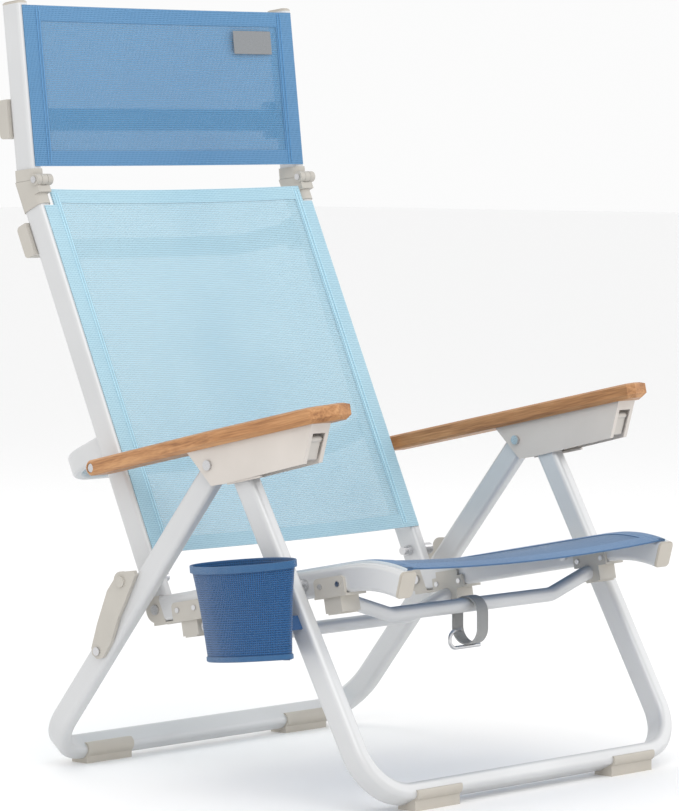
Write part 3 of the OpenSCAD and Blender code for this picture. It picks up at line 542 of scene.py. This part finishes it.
def drinkPouch():
    low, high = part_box("pouch")
    tilt = math.radians(pouchLook["lean"])
    vertices = [v.co.copy() for v in nodes["pouch"].data.vertices]
    # The solid's own frame: lean it back upright about its middle.
    midX = (low[0] + high[0]) / 2
    ups = [v.y * math.sin(tilt) + v.z * math.cos(tilt) for v in vertices]
    acs = [v.y * math.cos(tilt) - v.z * math.sin(tilt) for v in vertices]
    bottom, top = min(ups), max(ups)
    midA = (min(acs) + max(acs)) / 2
    halfW = (max(acs) - min(acs)) / 2
    halfD = (high[0] - low[0]) / 2
    tall = top - bottom
    rings, around = pouchLook["rings"], pouchLook["around"]
    deselectAll()
    bpy.ops.mesh.primitive_cylinder_add(vertices=around, radius=1, depth=1, end_fill_type="NOTHING", location=(0, 0, 0))
    shell = bpy.context.object
    shell.name = "drinkPouch"
    bpy.ops.object.mode_set(mode="EDIT")
    bpy.ops.mesh.select_all(action="SELECT")
    bpy.ops.mesh.subdivide(number_cuts=1)
    bpy.ops.object.mode_set(mode="OBJECT")
    applyModifier(shell, "SUBSURF", levels=3, render_levels=3, subdivision_type="SIMPLE")

    def shape(angle, t):
        # A lens: two arcs that meet at the front and back edges.
        grow = 0.80 + 0.20 * t
        w = halfW * grow - 0.001
        d = halfD * (0.90 + 0.10 * t) - 0.001
        across = math.cos(angle)
        side = math.sin(angle)
        lens = side * (1 - 0.30 * across * across)
        belly = 1 - 0.05 * math.sin(math.pi * t)
        return d * lens * belly, w * across * (1 - 0.02 * math.sin(math.pi * t))

    mesh = shell.data
    layer = mesh.uv_layers.active or mesh.uv_layers.new(name="cloth")
    spots = {}
    for vertex in mesh.vertices:
        angle = math.atan2(vertex.co.y, vertex.co.x)
        t = vertex.co.z + 0.5
        x, a = shape(angle, t)
        lift = bottom + 0.004 + t * (tall - 0.006)
        if t > 0.6:
            lift -= (t - 0.6) / 0.4 * pouchLook["frontDip"] * 0.5 * (1 + (1 if x < 0 else -1) * abs(math.sin(angle)))
        spots[vertex.index] = (angle, t)
        vertex.co = (midX + x, a_(midA + a, lift, tilt), z_(midA + a, lift, tilt))
    for loop in mesh.loops:
        angle, t = spots[loop.vertex_index]
        layer.data[loop.index].uv = ((angle + math.pi) * (halfW + halfD) * 0.6, t * tall)
    # The seam column would wrap round, so its corners take the same side.
    for polygon in mesh.polygons:
        us = [layer.data[i].uv[0] for i in polygon.loop_indices]
        if max(us) - min(us) > (halfW + halfD):
            for i in polygon.loop_indices:
                if layer.data[i].uv[0] < (halfW + halfD):
                    layer.data[i].uv[0] += 2 * math.pi * (halfW + halfD) * 0.6
    mesh.update()
    only(shell)
    bpy.ops.object.mode_set(mode="EDIT")
    bpy.ops.mesh.select_all(action="DESELECT")
    bpy.ops.mesh.select_mode(type="EDGE")
    bpy.ops.object.mode_set(mode="OBJECT")
    floorZ = min(spots[i][1] for i in spots)
    for edge in mesh.edges:
        edge.select = all(spots[i][1] < floorZ + 0.001 for i in edge.vertices)
    bpy.ops.object.mode_set(mode="EDIT")
    bpy.ops.mesh.edge_face_add()
    bpy.ops.mesh.inset(thickness=0.012)
    bpy.ops.object.mode_set(mode="OBJECT")
    only(shell)
    bpy.ops.object.mode_set(mode="EDIT")
    bpy.ops.mesh.select_all(action="SELECT")
    bpy.ops.mesh.normals_make_consistent(inside=False)
    bpy.ops.object.mode_set(mode="OBJECT")
    applyModifier(shell, "SOLIDIFY", thickness=pouchLook["wall"], offset=-1)
    net = netting("pouchNet", pouchLook["thread"], pouchLook["shadow"], pouchLook["pitch"], pouchLook["holes"])
    shell.data.materials.clear()
    shell.data.materials.append(net)
    smooth(shell, 60)
    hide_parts("pouch")
    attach(shell, "front_legs")
    # Bound rims at the mouth and the floor, as swept tubes round the lens.
    binding = netting("pouchBinding", pouchLook["binding"], pouchLook["shadow"], 0.0016, 0.0)
    for name, t, high_, thick in (("pouchRim", 1.0, pouchLook["rim"], 0.0024), ("pouchHem", 0.03, 0.006, 0.0020)):
        deselectAll()
        bpy.ops.mesh.primitive_cylinder_add(vertices=around, radius=1, depth=1, end_fill_type="NOTHING", location=(0, 0, 0))
        band = bpy.context.object
        band.name = name
        for vertex in band.data.vertices:
            angle = math.atan2(vertex.co.y, vertex.co.x)
            x, a = shape(angle, t)
            grown = 1.0 + 0.0008 / halfD
            lift = bottom + 0.004 + t * (tall - 0.006) + vertex.co.z * high_ - (high_ / 2 - 0.001 if t > 0.5 else 0)
            if t > 0.6:
                lift -= pouchLook["frontDip"] * 0.5 * (1 + (1 if x < 0 else -1) * abs(math.sin(angle)))
            vertex.co = (midX + x * grown, a_(midA + a * (1 + 0.0008 / halfW), lift, tilt), z_(midA + a, lift, tilt))
        band.data.update()
        only(band)
        bpy.ops.object.mode_set(mode="EDIT")
        bpy.ops.mesh.select_all(action="SELECT")
        bpy.ops.mesh.normals_make_consistent(inside=False)
        bpy.ops.object.mode_set(mode="OBJECT")
        applyModifier(band, "SOLIDIFY", thickness=thick, offset=0)
        applyModifier(band, "BEVEL", width=0.0007, segments=2, limit_method="ANGLE")
        band.data.materials.clear()
        band.data.materials.append(binding)
        smooth(band, 60)
        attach(band, "front_legs")
    print("pouch made")


def a_(across, lift, tilt):
    return across * math.cos(tilt) + lift * math.sin(tilt)


def z_(across, lift, tilt):
    return lift * math.cos(tilt) - across * math.sin(tilt)


drinkPouch()

# ---- webbing: pouch straps and the carrying loop keep their CAD shapes, woven ----
webLook = {"thread": (0.40, 0.40, 0.39), "shadow": (0.24, 0.24, 0.24), "pitch": 0.0016}


def webbing(name, thread, shadow):
    mat, tree, shader = newMaterial(name)
    coord = addNode(tree, "ShaderNodeTexCoord")
    wave = addNode(tree, "ShaderNodeTexWave", wave_type="BANDS", bands_direction="X")
    wave.inputs["Scale"].default_value = 160
    wave.inputs["Distortion"].default_value = 1.5
    tree.links.new(coord.outputs["Object"], wave.inputs["Vector"])
    ramp = rampOf(tree, wave.outputs["Fac"], [(0.2, shadow), (0.8, thread)])
    tree.links.new(ramp.outputs["Color"], shader.inputs["Base Color"])
    shader.inputs["Roughness"].default_value = 0.85
    shader.inputs["Sheen Weight"].default_value = 0.2
    bumpFrom(tree, shader, wave.outputs["Fac"], 0.5, 0.0005)
    return mat


for node, thread, shadow in (("pouch_straps", pouchLook["thread"], pouchLook["shadow"]),
                             ("strap_loop", webLook["thread"], webLook["shadow"])):
    low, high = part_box(node)
    finish = webbing(node.replace("_", "") + "Weave", thread, shadow)
    source = nodes[node]
    deselectAll()
    copy = source.copy()
    copy.data = source.data.copy()
    copy.name = "woven" + node.title().replace("_", "")
    bpy.context.scene.collection.objects.link(copy)
    copy.data.materials.clear()
    copy.data.materials.append(finish)
    copy.parent = None
    applyModifier(copy, "BEVEL", width=0.0005, segments=2, limit_method="ANGLE")
    smooth(copy, 50)
    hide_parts(node)
    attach(copy, "front_legs" if node == "pouch_straps" else "strap")
print("webbing made")


# ---- stage, light and camera ----
stageLook = {"floor": (0.95, 0.95, 0.95), "key": 50, "fill": 20, "rim": 18, "world": 0.97}


def stage():
    deselectAll()
    bpy.ops.mesh.primitive_plane_add(size=60, location=(0, 0, 0))
    floor = bpy.context.object
    floor.name = "floor"
    mat, tree, shader = newMaterial("paleFloor")
    shader.inputs["Base Color"].default_value = (*stageLook["floor"], 1)
    shader.inputs["Roughness"].default_value = 0.75
    floor.data.materials.append(mat)
    world = bpy.data.worlds.new("studio")
    bpy.context.scene.world = world
    world.use_nodes = True
    world.node_tree.nodes["Background"].inputs["Color"].default_value = (1, 1, 1, 1)
    world.node_tree.nodes["Background"].inputs["Strength"].default_value = stageLook["world"]
    lights = {"key": ((-2.2, -2.6, 3.2), 2.6, stageLook["key"]),
              "fill": ((3.0, -1.8, 2.0), 2.4, stageLook["fill"]),
              "rim": ((0.5, 2.8, 3.0), 2.2, stageLook["rim"])}
    for name, (spot, size, power) in lights.items():
        deselectAll()
        bpy.ops.object.light_add(type="AREA", location=spot)
        lamp = bpy.context.object
        lamp.name = name
        lamp.data.energy = power
        lamp.data.size = size
        aim = Vector((0, 0, 0.45)) - Vector(spot)
        lamp.rotation_euler = aim.to_track_quat("-Z", "Y").to_euler()


stage()

cameraLook = {"spot": (-3.98035, -3.69837, 0.82299), "yaw": 47.39, "pitch": -3.73, "roll": -0.03, "lens": 186.3}
deselectAll()
bpy.ops.object.camera_add(location=cameraLook["spot"])
camera = bpy.context.object
camera.rotation_euler = (math.radians(90 + cameraLook["pitch"]), math.radians(cameraLook["roll"]),
                         -math.radians(cameraLook["yaw"]))
camera.data.lens = cameraLook["lens"]
camera.data.sensor_width = 36
camera.data.clip_end = 100
bpy.context.scene.camera = camera
bpy.context.scene.view_settings.view_transform = "Standard"
print("stage, light and camera set")
